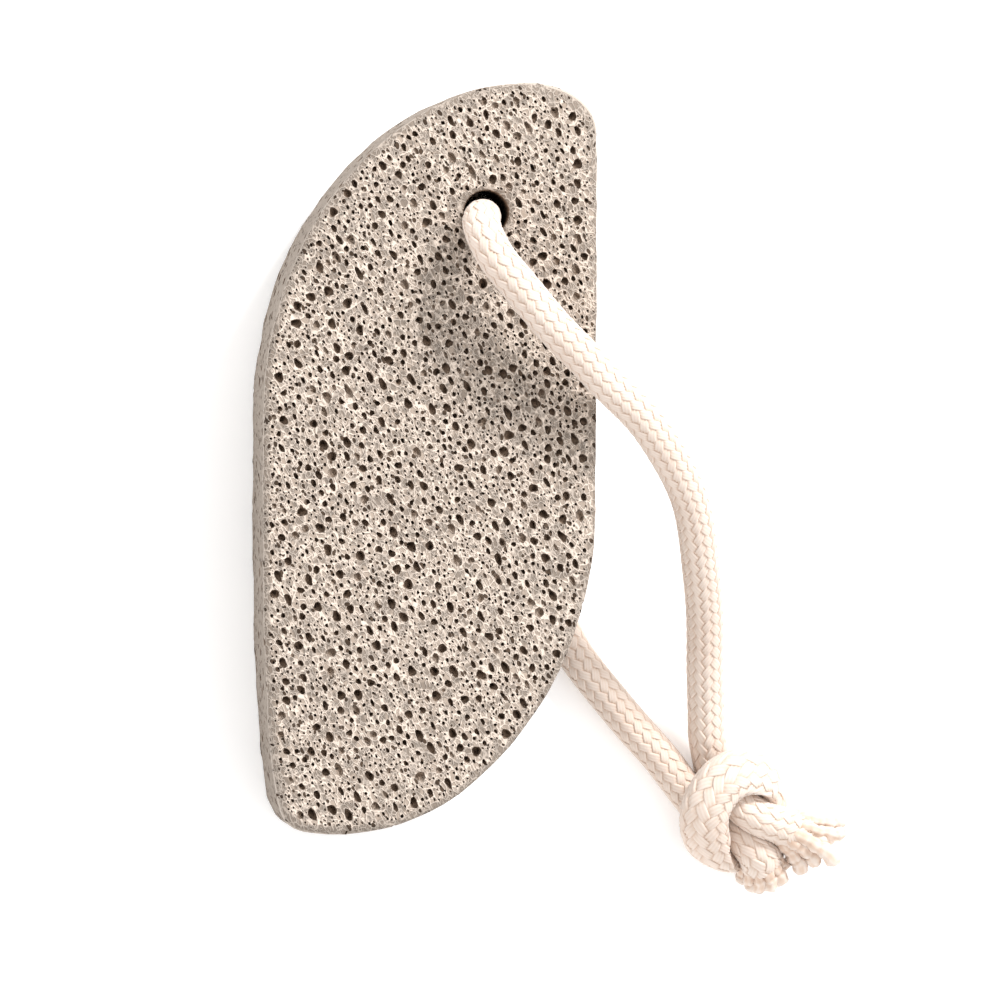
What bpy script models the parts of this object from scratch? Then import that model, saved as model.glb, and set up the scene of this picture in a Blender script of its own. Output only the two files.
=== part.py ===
"""A pumice stone on a loop of braided cotton rope, lying on its back face.

The rope runs through a hole near the stone's top end. One strand arches over the stone's front face
and down to the floor. The other leaves the hole at the back, passes under the stone, which leans on
it, and meets the first in a knot. Metres, +Z up. The origin is on the floor under the middle of the
stone, +X across the stone and +Y towards its top end.
"""

import math

import bmesh
import bpy
import numpy as np
from mathutils import Matrix, Vector

MM = 0.001

# The stone, in millimetres, in its own flat frame: x across, y along and z from the back face up.
THICKNESS = 24.0
HALF_WIDTH = 26.1
TOP_Y, BOTTOM_Y = 59.0, -58.6
FRONT_ROUNDING = 1.0
BACK_ROUNDING = 1.5
HOLE = (8.6, 38.6)
HOLE_RADIUS = 3.5
FRONT_RIM, BACK_RIM = 0.5, 2.5  # how far the hole's two mouths are rounded
HOLE_SIDES = 32

# How the stone lies: turned about a line in the floor that points from the hole to where the back
# strand comes out, until the back face leaves room for the rope.
TILT_DEG = 7.6
LEAN_LINE = Vector((90.0, -430.0, 0.0)).normalized()

# The rope and its knot, in millimetres.
ROPE_RADIUS = 3.0
GAP = 0.3
SPACING = 1.9  # between the points of a strand
KNOT_CENTRE = Vector((53.3, -56.2, 7.7))
KNOT_RADIUS = 9.3
KNOT_HALF_HEIGHT = 7.6

# Routes over the floor, in millimetres from the origin.
FRONT_ROUTE = [
    (5.3, 36.9, 33.9),
    (5.2, 34.2, 37.2),
    (6.7, 30.8, 38.6),
    (9.1, 27.7, 39.2),
    (11.6, 24.8, 39.2),
    (16.4, 19.4, 39.0),
    (20.7, 15.3, 38.6),
    (24.6, 11.5, 37.8),
    (30.3, 6.5, 36.0),
    (35.1, 1.1, 33.0),
    (40.4, -6.7, 28.0),
    (43.7, -16.2, 21.7),
    (46.0, -24.6, 15.9),
    (47.5, -34.0, 10.4),
    (48.6, -41.0, 6.9),
    (49.3, -45.8, 5.1),
]
BACK_ROUTE = [
    (10.3, 37.9, 6.0),
    (11.0, 35.8, 3.9),
    (11.8, 32.9, 3.1),
    (13.5, 25.0, 3.03),
    (16.7, 10.0, 3.03),
    (20.1, -6.0, 3.03),
    (23.6, -20.5, 3.03),
    (27.2, -30.0, 3.03),
    (32.6, -37.2, 3.05),
    (37.7, -43.2, 3.1),
    (42.5, -48.5, 3.2),
    (44.6, -51.3, 3.3),
]
LONG_END = [(63.1, -60.0, 7.6), (66.3, -61.6, 6.1), (69.8, -64.4, 4.8)]
SHORT_END = [(58.1, -64.8, 5.7), (59.2, -66.9, 4.9), (60.3, -69.0, 4.3)]


def clear_scene():
    for obj in list(bpy.data.objects):
        bpy.data.objects.remove(obj, do_unlink=True)


def material(name, colour, roughness):
    made = bpy.data.materials.new(name)
    made.use_nodes = True
    shader = made.node_tree.nodes["Principled BSDF"]
    shader.inputs["Base Color"].default_value = (*colour, 1.0)
    shader.inputs["Roughness"].default_value = roughness
    shader.inputs["Metallic"].default_value = 0.0
    return made


def bezier(start, handle_a, handle_b, end, steps):
    """Points along a cubic curve, without its end."""
    t = np.arange(steps)[:, None] / steps
    a, b, c, d = (np.array(p, float) for p in (start, handle_a, handle_b, end))
    return (1 - t) ** 3 * a + 3 * (1 - t) ** 2 * t * b + 3 * (1 - t) * t**2 * c + t**3 * d


def outline():
    """The stone's outline, clockwise from the middle of its left side: two long arcs that face each
    other, joined by a straight side and a rounded corner each."""
    w, top, low = HALF_WIDTH, TOP_Y, BOTTOM_Y
    stretches = [
        bezier((-w, 6.3), (-w, 41.2), (-1.0, top), (14.6, top), 34),
        bezier((14.6, top), (23.7, top), (w, 54.4), (w, 51.0), 9),
        bezier((w, 51.0), (w, 31.3), (w, 11.7), (w, -8.0), 4),
        bezier((w, -8.0), (w, -34.9), (7.2, low), (-13.9, low), 32),
        bezier((-13.9, low), (-21.9, low), (-22.6, -57.3), (-23.7, -53.5), 9),
        bezier((-23.7, -53.5), (-26.1, -39.0), (-w, -16.3), (-w, 6.3), 8),
    ]
    return np.concatenate(stretches)


def inward(points):
    """The unit normals that point into a clockwise outline."""
    along = np.roll(points, -1, 0) - np.roll(points, 1, 0)
    normals = np.stack([along[:, 1], -along[:, 0]], 1)
    return normals / np.linalg.norm(normals, axis=1, keepdims=True)


def quarter(radius, steps=3):
    """(inset, height) of a rounded edge, from the flat face to the side wall."""
    for k in range(steps + 1):
        turn = math.pi / 2 * k / steps
        yield radius * (1 - math.sin(turn)), radius * (1 - math.cos(turn))


def mesh_object(name, bm, finish):
    bmesh.ops.recalc_face_normals(bm, faces=bm.faces[:])
    mesh = bpy.data.meshes.new(name)
    bm.to_mesh(mesh)
    bm.free()
    obj = bpy.data.objects.new(name, mesh)
    bpy.context.scene.collection.objects.link(obj)
    mesh.materials.append(finish)
    mesh.shade_smooth()
    mesh.set_sharp_from_angle(angle=math.radians(35))
    return obj


def loft(rings):
    """A closed body through rings of points, with both ends filled."""
    bm = bmesh.new()
    rows = [[bm.verts.new(p) for p in ring] for ring in rings]
    for low, high in zip(rows, rows[1:]):
        for k in range(len(low)):
            n = (k + 1) % len(low)
            bm.faces.new((low[k], low[n], high[n], high[k]))
    bm.faces.new(rows[0])
    bm.faces.new(rows[-1])
    return bm


def slab_rings():
    edge = outline()
    into = inward(edge)
    levels = list(quarter(BACK_ROUNDING))
    levels += [(inset, THICKNESS - rise) for inset, rise in reversed(list(quarter(FRONT_ROUNDING)))]
    for inset, height in levels:
        yield [(x * MM, y * MM, height * MM) for x, y in edge + into * inset]


def hole_rings():
    """The cutter: a cylinder that flares at both mouths, longer than the stone is thick."""
    levels = [(HOLE_RADIUS + BACK_RIM, -1.0)]
    levels += [(HOLE_RADIUS + inset, rise) for inset, rise in quarter(BACK_RIM)]
    levels += [(HOLE_RADIUS + i, THICKNESS - r) for i, r in reversed(list(quarter(FRONT_RIM)))]
    levels += [(HOLE_RADIUS + FRONT_RIM, THICKNESS + 1.0)]
    for radius, height in levels:
        turns = [2 * math.pi * k / HOLE_SIDES for k in range(HOLE_SIDES)]
        ring = [(HOLE[0] + radius * math.cos(a), HOLE[1] + radius * math.sin(a)) for a in turns]
        yield [(x * MM, y * MM, height * MM) for x, y in ring]


def lay_down(points):
    """The matrix that leans the slab on the rope, with its lowest point on the floor and the middle
    of its box over the origin."""
    turn = Matrix.Rotation(math.radians(TILT_DEG), 4, LEAN_LINE)
    turned = np.array([turn @ Vector(p) for p in points])
    low, high = turned.min(0), turned.max(0)
    middle = (low + high) / 2
    return Matrix.Translation((-middle[0], -middle[1], -low[2])) @ turn


def make_stone(finish):
    """The stone, and the matrix that takes a point from its flat frame to where it lies."""
    slab = mesh_object("stone", loft(list(slab_rings())), finish)
    cutter = mesh_object("stone_hole_cutter", loft(list(hole_rings())), finish)
    cutter.hide_render = True
    cutter.display_type = "WIRE"
    place = lay_down([v.co.copy() for v in slab.data.vertices])
    slab.matrix_world = place
    cutter.matrix_world = place
    drill = slab.modifiers.new("hole", "BOOLEAN")
    drill.operation = "DIFFERENCE"
    drill.solver = "EXACT"
    drill.object = cutter
    return slab, place


def smooth_route(route, spacing):
    """Points a set distance apart on a natural cubic spline through the route, in millimetres."""
    route = np.array(route, float)
    chord = np.linalg.norm(np.diff(route, axis=0), axis=1)
    at = np.concatenate([[0.0], np.cumsum(chord)])
    n = len(route)
    system, right = np.eye(n), np.zeros((n, 3))
    for k in range(1, n - 1):
        before, after = chord[k - 1], chord[k]
        system[k, k - 1 : k + 2] = before, 2 * (before + after), after
        right[k] = 6 * ((route[k + 1] - route[k]) / after - (route[k] - route[k - 1]) / before)
    bend = np.linalg.solve(system, right)
    dense = []
    for k in range(n - 1):
        h = chord[k]
        t = np.linspace(0, h, 60, endpoint=k == n - 2)[:, None]
        slope = (route[k + 1] - route[k]) / h - h * (2 * bend[k] + bend[k + 1]) / 6
        dense.append(route[k] + slope * t + bend[k] * t**2 / 2 + (bend[k + 1] - bend[k]) * t**3 / (6 * h))
    dense = np.concatenate(dense)
    run = np.concatenate([[0.0], np.cumsum(np.linalg.norm(np.diff(dense, axis=0), axis=1))])
    stops = np.linspace(0, run[-1], int(run[-1] / spacing) + 2)
    return np.stack([np.interp(stops, run, dense[:, k]) for k in range(3)], axis=1)


def make_tube(name, route, finish, radii=(1.0, 1.0), resolution=4):
    """A round rope along the route, whose radius runs between two shares of the rope's own."""
    points = smooth_route(route, SPACING)
    curve = bpy.data.curves.new(name, "CURVE")
    curve.dimensions = "3D"
    curve.bevel_depth = ROPE_RADIUS * MM
    curve.bevel_resolution = resolution
    curve.use_fill_caps = True
    spline = curve.splines.new("POLY")
    spline.points.add(len(points) - 1)
    for k, point in enumerate(points):
        spline.points[k].co = (*(point * MM), 1.0)
        share = k / (len(points) - 1)
        spline.points[k].radius = radii[0] + (radii[1] - radii[0]) * share
    curve.materials.append(finish)
    tube = bpy.data.objects.new(name, curve)
    bpy.context.scene.collection.objects.link(tube)
    return tube


def make_knot(finish):
    """The knot's outer shape: a round body, a little flattened where it lies on the floor."""
    bm = bmesh.new()
    bmesh.ops.create_uvsphere(bm, u_segments=28, v_segments=16, radius=1.0)
    shape = Matrix.Diagonal((KNOT_RADIUS * MM, KNOT_RADIUS * MM, KNOT_HALF_HEIGHT * MM, 1.0))
    bm.transform(Matrix.Translation(KNOT_CENTRE * MM) @ shape)
    return mesh_object("rope_knot", bm, finish)


def main():
    clear_scene()
    pumice = material("pumice", (0.60, 0.55, 0.49), 0.95)
    cotton = material("cotton", (0.88, 0.79, 0.68), 0.85)
    _, place = make_stone(pumice)

    def in_hole(height):
        return tuple(place @ (Vector((*HOLE, height)) * MM) / MM)

    middle = THICKNESS / 2
    front = [in_hole(middle + GAP / 2), in_hole(THICKNESS - 5.0), in_hole(THICKNESS)]
    back = [in_hole(middle - GAP / 2), in_hole(6.0), in_hole(2.6)]
    make_tube("rope_front", front + FRONT_ROUTE, cotton)
    make_tube("rope_back", back + BACK_ROUTE, cotton)
    make_knot(cotton)
    make_tube("rope_end_long", LONG_END, cotton, radii=(1.0, 1.5))
    make_tube("rope_end_short", SHORT_END, cotton, radii=(1.0, 1.35))


main()
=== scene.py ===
import math

import bmesh
import bpy
import numpy as np
from mathutils import Matrix, Vector
from mathutils.geometry import delaunay_2d_cdt


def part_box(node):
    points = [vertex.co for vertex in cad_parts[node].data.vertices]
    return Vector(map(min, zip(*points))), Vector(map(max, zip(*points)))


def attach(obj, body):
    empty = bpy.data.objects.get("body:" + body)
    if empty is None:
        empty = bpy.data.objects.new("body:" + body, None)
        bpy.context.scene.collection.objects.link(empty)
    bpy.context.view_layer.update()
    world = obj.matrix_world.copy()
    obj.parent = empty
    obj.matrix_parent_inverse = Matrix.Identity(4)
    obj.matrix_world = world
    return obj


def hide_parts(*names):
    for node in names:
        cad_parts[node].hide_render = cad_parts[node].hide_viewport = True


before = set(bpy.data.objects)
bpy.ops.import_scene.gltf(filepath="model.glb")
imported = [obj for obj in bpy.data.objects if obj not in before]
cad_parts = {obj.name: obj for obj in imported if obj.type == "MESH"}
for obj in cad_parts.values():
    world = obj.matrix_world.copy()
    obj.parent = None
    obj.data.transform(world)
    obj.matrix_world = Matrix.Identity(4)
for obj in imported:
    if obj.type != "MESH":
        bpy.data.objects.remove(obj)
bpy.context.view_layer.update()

# Lengths are in millimetres, unless a comment says metres.
MM = 0.001

# The stone in its own flat frame, as the CAD has it: x across, y along, and height over its back.
THICKNESS = 24.0
HALF_WIDTH = 26.1
TOP_Y, BOTTOM_Y = 59.0, -58.6
CAD_FRONT_ROUNDING = 1.0
BACK_ROUNDING = 1.5
HOLE = (8.6, 38.6)
HOLE_RADIUS = 3.5
FRONT_RIM, BACK_RIM = 0.5, 2.5  # how far the hole's two mouths are rounded
TILT_DEG = 7.6
LEAN_LINE = Vector((90.0, -430.0, 0.0)).normalized()

# The stone's surface.
EDGE_ROUNDING = 0.5
WORN_CORNERS = (((24.0, 57.0), 24.0, 0.9), ((-22.0, -56.0), 26.0, 0.5))  # where, reach, extra rounding
HIGHLIGHT_BAND, HIGHLIGHT_FADE = 1.9, 1.0  # a strip of painted highlight along the straight side
EDGE_STEP = 0.9
HOLE_SIDES = 40
WALL_STEPS = 18
UNEVENNESS = 0.05
WELD_DISTANCE = 0.000003  # metres
SHARP_DEG = 50.0

# The side wall, unrolled: the front edge's arc, the flat wall and the back edge's arc.
FRONT_ARC, BACK_ARC = EDGE_ROUNDING * math.pi / 2, BACK_ROUNDING * math.pi / 2
WALL = THICKNESS - EDGE_ROUNDING - BACK_ROUNDING
DROP = FRONT_ARC + WALL + BACK_ARC

# Pores.
GRAIN_DEG, GRAIN_STRETCH = -62.0, 1.3
SIDE_GRAIN_DEG, SIDE_GRAIN_STRETCH = 70.0, 1.6
PORE_SIDES = (6, 12)
PORE_WAVES = np.array([0.15, 0.12, 0.06])  # how lumpy a pore's outline is, wave by wave
PORE_GAP, PORE_EXTRA_GAP = 0.03, 0.2
CLEAR_OF_PORES = 0.16
HIGH_LIT_SIDE = math.radians(-127.0)  # which side of a pore's floor tends to be higher, with lighter painted shade
SHALLOW_SHARE = 0.22
SMALL_PORE, TINY_PORE = 0.46, 0.36
RIM_LIFT, RIM_ROUGHNESS = 0.05, 0.10  # how proud of the surface a pore's rim is
PLAIN_SINK, PLAIN_ROUGHNESS = 0.04, 0.05

# The rope.
ROPE_RADIUS = 3.0
ROUTE_SPACING = 0.51
IN_HOLE = 12.0  # how much of each strand is in the hole
FRONT_OFF_CENTRE = (-0.35, -0.55)  # where each strand runs in the hole, from its middle
BACK_OFF_CENTRE = (-0.2, 0.35)
BACK_LOWER_OFF_CENTRE = (-0.2, 0.3)
HALF_GAP = 0.15  # between the two strands, halfway through the hole

# The braid.
CARRIERS = 12  # each way round
TURN_LENGTH = 26.0
YARNS = 3
YARN_FACETS = 2
WEAVE_DEPTH = 0.25
YARN_BULGE, YARN_ROUNDNESS = 0.13, 0.8
RIBBON_THICKNESS = 0.5
RIBBON_OVERLAP = 1.1
RIBBON_INNER_WIDTH = 0.85
FLATTER = 2.4  # how square the weave's wave is

# Where rope presses on rope.
SQUEEZED_RADIUS = 2.5
KNOT_REACH = 13.0
KNOT_FRINGE = 8.0  # how far past that the rope is fixed but still pushes
PULL, PUSH, ROUNDS = 0.08, 0.25, 120
SAME_TURN_POINTS, SAME_TURN_RUN = 9, 9.0
CONTACT_GAP, FLOOR_GAP = 0.06, 0.02
FAR_AWAY = 1000.0

# How a strand's section changes, as shares of its radius.
BAND_THINNER, BAND_WIDER = 0.22, 0.42
FLARE_THICKER, FLARE_WIDER = 0.06, 0.22
END_TUCK = 0.42
FRONT_SQUEEZE, BACK_SQUEEZE = 0.11, 0.01

# The frayed ends.
FRAY_RINGS = ((0.78, 10), (0.36, 5))  # how far out each ring of yarns is, and how many it has
FRAY_SIDES, FRAY_STEPS = 16, 22
FRAY_RADIUS = 1.25
FRAY_LOBES = 5
FRAY_TWIST = 1.3
FRAY_SPREAD, FRAY_STRAY, FRAY_TURN_BACK = 0.24, 0.16, 0.22
WIGGLE, WIGGLE_LENGTH = 0.16, 3.0
BEADING, BEAD_LENGTH = 0.09, 1.7

# The camera looks nearly square at the face.
VIEW_LEAN = (-math.tan(math.radians(6.0)), math.tan(math.radians(1.4)))
VIEW_DISTANCE = 1400.0
VIEW_WIDTH = 156.25
VIEW_SHIFT = (10.9, -6.25)

# The stage, in metres and watts.
FLOOR_REACH = 3.0
FLOOR_WHITE, FLOOR_GLOW = 0.97, 0.2
WORLD_LIGHT = 1.2
KEY_FROM, KEY_AIM = (0.42, 0.66, 0.62), (0.01, 0.0, 0.02)
KEY_DISTANCE, KEY_SIZE, KEY_POWER = 1.2, 0.28, 15.5

# ---- where things are

TURN = np.array(Matrix.Rotation(math.radians(TILT_DEG), 3, LEAN_LINE))
ACROSS, ALONG, FACE = TURN.T


def unit(v):
    v = np.asarray(v, float)
    return v / np.linalg.norm(v, axis=-1, keepdims=True)


def bezier(start, handle_a, handle_b, end, steps=60):
    t = np.arange(steps)[:, None] / steps
    a, b, c, d = (np.array(p, float) for p in (start, handle_a, handle_b, end))
    return (1 - t) ** 3 * a + 3 * (1 - t) ** 2 * t * b + 3 * (1 - t) * t**2 * c + t**3 * d


def run_of(path):
    """How far along the path each of its points is."""
    return np.concatenate([[0.0], np.cumsum(np.linalg.norm(np.diff(path, axis=0), axis=1))])


def outline():
    """The stone's outline, clockwise from the middle of its left side, evenly spaced, and its length."""
    w, top, low = HALF_WIDTH, TOP_Y, BOTTOM_Y
    stretches = [
        bezier((-w, 6.3), (-w, 41.2), (-1.0, top), (14.6, top)),
        bezier((14.6, top), (23.7, top), (w, 54.4), (w, 51.0)),
        bezier((w, 51.0), (w, 31.3), (w, 11.7), (w, -8.0)),
        bezier((w, -8.0), (w, -34.9), (7.2, low), (-13.9, low)),
        bezier((-13.9, low), (-21.9, low), (-22.6, -57.3), (-23.7, -53.5)),
        bezier((-23.7, -53.5), (-26.1, -39.0), (-w, -16.3), (-w, 6.3)),
    ]
    line = np.concatenate(stretches + [[(-w, 6.3)]])
    run = run_of(line)
    count = int(run[-1] / EDGE_STEP)
    stops = np.arange(count) * run[-1] / count
    return np.stack([np.interp(stops, run, line[:, k]) for k in range(2)], axis=1), run[-1]


def inward(points):
    along = np.roll(points, -1, 0) - np.roll(points, 1, 0)
    return unit(np.stack([along[:, 1], -along[:, 0]], 1))


def stone_origin():
    """Where the flat frame's origin lies: the turned slab fills its node's box."""
    edge, _ = outline()
    into = inward(edge)
    levels = [
        (BACK_ROUNDING, 0.0),
        (0.0, BACK_ROUNDING),
        (0.0, THICKNESS - CAD_FRONT_ROUNDING),
        (CAD_FRONT_ROUNDING, THICKNESS),
    ]
    rings = [np.column_stack([edge + into * inset, np.full(len(edge), h)]) for inset, h in levels]
    slab = np.concatenate(rings) @ TURN.T
    low, high = (np.array(corner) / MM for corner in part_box("stone"))
    shift = (low + high) / 2 - (slab.min(0) + slab.max(0)) / 2
    shift[2] = low[2] - slab[:, 2].min()
    return shift


STONE_ORIGIN = stone_origin()


def on_stone(points):
    """Points of the stone's flat frame, where they lie."""
    return np.asarray(points, float) @ TURN.T + STONE_ORIGIN


def mesh_from(name, points, faces):
    """A smooth mesh object from points in metres and faces with equally many corners."""
    mesh = bpy.data.meshes.new(name)
    points = np.asarray(points, np.float32)
    faces = np.asarray(faces, np.int32)
    mesh.vertices.add(len(points))
    mesh.vertices.foreach_set("co", points.ravel())
    count, size = faces.shape
    mesh.loops.add(count * size)
    mesh.loops.foreach_set("vertex_index", faces.ravel())
    mesh.polygons.add(count)
    mesh.polygons.foreach_set("loop_start", np.arange(0, count * size, size, dtype=np.int32))
    mesh.update(calc_edges=True)
    mesh.validate()
    mesh.shade_smooth()
    obj = bpy.data.objects.new(name, mesh)
    bpy.context.scene.collection.objects.link(obj)
    return obj


def between_rings(a, b):
    """The triangles between two rings, given as the numbers of their points."""
    next_a, next_b = np.roll(a, -1), np.roll(b, -1)
    return np.concatenate([np.stack([a, next_a, next_b], 1), np.stack([a, next_b, b], 1)])


def add_attribute(obj, name, values):
    """A number for each of the object's points, which its material reads."""
    attribute = obj.data.attributes.new(name, "FLOAT", "POINT")
    attribute.data.foreach_set("value", np.asarray(values, np.float32))


# ---- camera and stage


def make_camera():
    back = unit(FACE + VIEW_LEAN[0] * ACROSS + VIEW_LEAN[1] * ALONG)
    right = unit(np.cross((0.0, 1.0, 0.0), back))
    up = np.cross(back, right)
    face_middle = on_stone((0.0, 0.0, THICKNESS))
    aim = face_middle + VIEW_SHIFT[0] * right + VIEW_SHIFT[1] * up
    data = bpy.data.cameras.new("camera")
    data.sensor_width = 36.0
    data.lens = data.sensor_width * VIEW_DISTANCE / VIEW_WIDTH
    data.clip_start, data.clip_end = 0.1, 20.0
    camera = bpy.data.objects.new("camera", data)
    camera.matrix_world = Matrix(
        [[right[k], up[k], back[k], (aim[k] + VIEW_DISTANCE * back[k]) * MM] for k in range(3)]
        + [[0.0, 0.0, 0.0, 1.0]]
    )
    bpy.context.scene.collection.objects.link(camera)
    bpy.context.scene.camera = camera


def make_key_light():
    data = bpy.data.lights.new("key", "AREA")
    data.shape = "DISK"
    data.size = KEY_SIZE
    data.energy = KEY_POWER
    lamp = bpy.data.objects.new("key", data)
    away = Vector(KEY_FROM).normalized()
    lamp.location = Vector(KEY_AIM) + away * KEY_DISTANCE
    lamp.rotation_mode = "QUATERNION"
    lamp.rotation_quaternion = away.to_track_quat("Z", "Y")
    bpy.context.scene.collection.objects.link(lamp)


def make_stage():
    r = FLOOR_REACH
    floor = mesh_from("floor", [(-r, -r, 0.0), (r, -r, 0.0), (r, r, 0.0), (-r, r, 0.0)], [(0, 1, 2, 3)])
    white = bpy.data.materials.new("floor white")
    white.use_nodes = True
    shader = white.node_tree.nodes["Principled BSDF"]
    shader.inputs["Base Color"].default_value = (FLOOR_WHITE, FLOOR_WHITE, FLOOR_WHITE, 1.0)
    shader.inputs["Roughness"].default_value = 0.9
    shader.inputs["Emission Color"].default_value = (1.0, 1.0, 1.0, 1.0)
    shader.inputs["Emission Strength"].default_value = FLOOR_GLOW
    floor.data.materials.append(white)
    world = bpy.data.worlds.new("studio")
    world.use_nodes = True
    background = world.node_tree.nodes["Background"]
    background.inputs["Color"].default_value = (1.0, 1.0, 1.0, 1.0)
    background.inputs["Strength"].default_value = WORLD_LIGHT
    bpy.context.scene.world = world
    make_key_light()
    bpy.context.scene.view_settings.view_transform = "Standard"


# ---- the rope's route

# The route's points over the floor, as the CAD has them.
FRONT_ROUTE = [
    (5.3, 36.9, 33.9),
    (5.2, 34.2, 37.2),
    (6.7, 30.8, 38.6),
    (9.1, 27.7, 39.2),
    (11.6, 24.8, 39.2),
    (16.4, 19.4, 39.0),
    (20.7, 15.3, 38.6),
    (24.6, 11.5, 37.8),
    (30.3, 6.5, 36.0),
    (35.1, 1.1, 33.0),
    (40.4, -6.7, 28.0),
    (43.7, -16.2, 21.7),
    (46.0, -24.6, 15.9),
    (47.5, -34.0, 10.4),
    (48.6, -41.0, 6.9),
    (49.3, -45.8, 5.1),
]
BACK_ROUTE = [
    (10.3, 37.9, 6.0),
    (11.0, 35.8, 3.9),
    (11.8, 32.9, 3.1),
    (13.5, 25.0, 3.03),
    (16.7, 10.0, 3.03),
    (20.1, -6.0, 3.03),
    (23.6, -20.5, 3.03),
    (27.2, -30.0, 3.03),
    (32.6, -37.2, 3.05),
    (37.7, -43.2, 3.1),
    (42.5, -48.5, 3.2),
    (44.6, -51.3, 3.3),
]

# The knot's own directions: along is where its ends point, over the floor, and across is to the
# left of that. Its points are (along, across, height over the floor).
KNOT_MIDDLE = np.array([53.5, -56.8, 0.0])
KNOT_ALONG = np.array([0.81, -0.59, 0.0])
KNOT_ACROSS = np.array([0.59, 0.81, 0.0])
FRONT_KNOT = [
    (-4.6, 3.5, 3.3),
    (-0.6, 2.5, 3.5),
    (2.0, 3.0, 5.0),
    (1.9, 5.1, 7.2),
    (-0.9, 6.5, 9.4),
    (-4.6, 5.0, 11.5),
    (-6.4, 0.9, 12.2),
    (-5.7, -3.2, 11.4),
    (-2.5, -6.1, 8.8),
    (1.4, -6.8, 5.4),
    (4.8, -4.8, 3.0),
    (5.8, -0.8, 2.6),
    (3.8, 2.8, 2.8),
    (0.4, 5.6, 4.4),
    (-2.8, 5.0, 6.4),
    (-2.6, 1.9, 7.6),
    (0.8, 1.7, 8.6),
    (4.4, 2.4, 9.2),
    (8.2, 3.0, 8.3),
    (10.6, 3.5, 7.1),
    (12.0, 3.7, 6.3),
]
BAND = (3, 11)  # the first and last of those points on the turn that wraps the others
BACK_KNOT = [
    (-4.6, -2.0, 3.4),
    (-0.6, -1.6, 4.6),
    (3.0, -1.6, 5.8),
    (6.6, -2.8, 5.4),
    (9.2, -4.0, 4.3),
]


def in_knot(points):
    points = np.asarray(points, float)
    sideways = points[:, :1] * KNOT_ALONG + points[:, 1:2] * KNOT_ACROSS
    return KNOT_MIDDLE + sideways + points[:, 2:] * (0.0, 0.0, 1.0)


def in_hole(off_centre, heights):
    """Points in the stone's hole, off its middle line."""
    return [(HOLE[0] + off_centre[0], HOLE[1] + off_centre[1], h) for h in heights]


def evenly(path, spacing):
    run = run_of(path)
    stops = np.linspace(0, run[-1], int(run[-1] / spacing) + 2)
    return np.stack([np.interp(stops, run, path[:, k]) for k in range(3)], axis=1)


def smooth_route(route, spacing, steps=60):
    """Points a set distance apart on a natural cubic spline through the route."""
    route = np.array(route, float)
    chord = np.linalg.norm(np.diff(route, axis=0), axis=1)
    n = len(route)
    system, right = np.eye(n), np.zeros((n, 3))
    for k in range(1, n - 1):
        before, after = chord[k - 1], chord[k]
        system[k, k - 1 : k + 2] = before, 2 * (before + after), after
        right[k] = 6 * ((route[k + 1] - route[k]) / after - (route[k] - route[k - 1]) / before)
    bend = np.linalg.solve(system, right)
    dense = []
    for k in range(n - 1):
        h = chord[k]
        t = np.linspace(0, h, steps, endpoint=k == n - 2)[:, None]
        slope = (route[k + 1] - route[k]) / h - h * (2 * bend[k] + bend[k + 1]) / 6
        dense.append(route[k] + slope * t + bend[k] * t**2 / 2 + (bend[k + 1] - bend[k]) * t**3 / (6 * h))
    return evenly(np.concatenate(dense), spacing)


def tighten(strands):
    """Pulls the knot tight: each free point moves towards the middle of its neighbours, and points
    of different turns keep a squeezed rope's thickness apart."""
    middle = in_knot([(0.0, 0.0, 7.0)])[0]
    paths = [smooth_route(s, 1.0) for s in strands]
    points = np.concatenate(paths)
    strand = np.concatenate([np.full(len(p), k) for k, p in enumerate(paths)])
    place = np.concatenate([np.arange(len(p)) for p in paths])
    from_middle = np.linalg.norm(points - middle, axis=1)
    ends = (place == 0) | (np.append(strand[1:] != strand[:-1], True))
    free = (from_middle < KNOT_REACH) & ~ends
    moving = np.flatnonzero(from_middle < KNOT_REACH + KNOT_FRINGE)
    near = (strand[:, None] == strand[None]) & (abs(place[:, None] - place[None]) < SAME_TURN_POINTS)
    near = near[np.ix_(moving, moving)]
    for _ in range(ROUNDS):
        between = (points[:-2] + points[2:]) / 2
        step = np.zeros_like(points)
        step[1:-1] = PULL * (between - points[1:-1])
        points[free] += step[free]
        here = points[moving]
        gap = here[:, None] - here[None]
        apart = np.linalg.norm(gap, axis=2) + 1e-9
        press = np.clip(2 * SQUEEZED_RADIUS - apart, 0, None)
        press[near] = 0
        push = (gap / apart[..., None] * press[..., None]).sum(1) * PUSH
        here = here + push * free[moving][:, None]
        here[:, 2] = np.maximum(here[:, 2], SQUEEZED_RADIUS)
        points[moving[free[moving]]] = here[free[moving]]
    return [evenly(points[strand == k], ROUTE_SPACING) for k in range(len(paths))]


def rise(run, start, stop):
    """0 before start, 1 after stop, and a smooth step between."""
    t = np.clip((run - start) / (stop - start), 0, 1)
    return t * t * (3 - 2 * t)


def band_flatness(path, run, core):
    """How flat the front strand is along its path: 1 on the turn that wraps the others."""
    near = np.linalg.norm(path - core, axis=1) < 14
    starts = []
    for mark in in_knot([FRONT_KNOT[k] for k in BAND]):
        starts.append(run[np.where(near, np.linalg.norm(path - mark, axis=1), FAR_AWAY).argmin()])
    first, last = starts
    return rise(run, first - 3, first + 3) * (1 - rise(run, last - 3, last + 3))


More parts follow.
